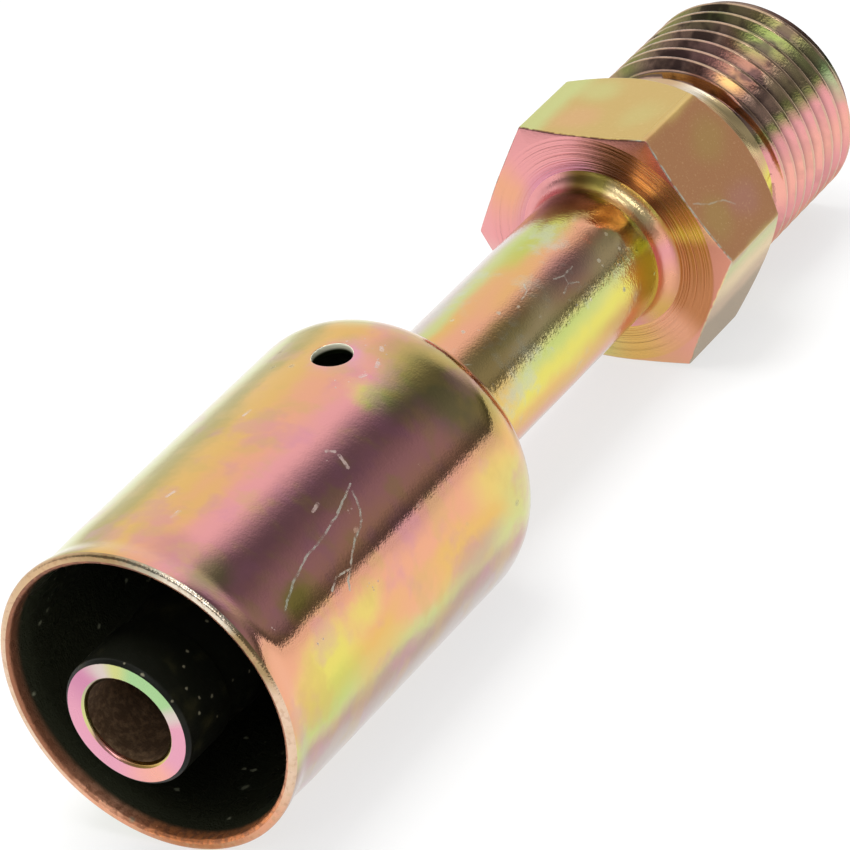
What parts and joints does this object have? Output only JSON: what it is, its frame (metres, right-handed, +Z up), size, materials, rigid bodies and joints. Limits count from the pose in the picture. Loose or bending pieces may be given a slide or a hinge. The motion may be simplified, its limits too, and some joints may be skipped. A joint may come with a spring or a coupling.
{
  "type": "crimp hose fitting",
  "caption": "Straight steel crimp hose fitting: nipple inside an open shell with a belled lip, bare tube, hex and male thread, drilled through.",
  "frame": {"origin": "on the fitting's axis where the full male thread starts, at the relief beside the hex", "axes": "+X along the axis out of the threaded end, -X out of the hose end, +Z up with one hex flat facing up and one down"},
  "size_m": [0.0956, 0.0256, 0.0256],
  "materials": {
    "stem": "yellow zinc plate, glossy, with pink and green tints",
    "shell": "yellow zinc plate, glossy, with pink and green tints"
  },
  "bodies": {
    "root": {"stem": "stem", "shell": "shell"}
  },
  "joints": []
}
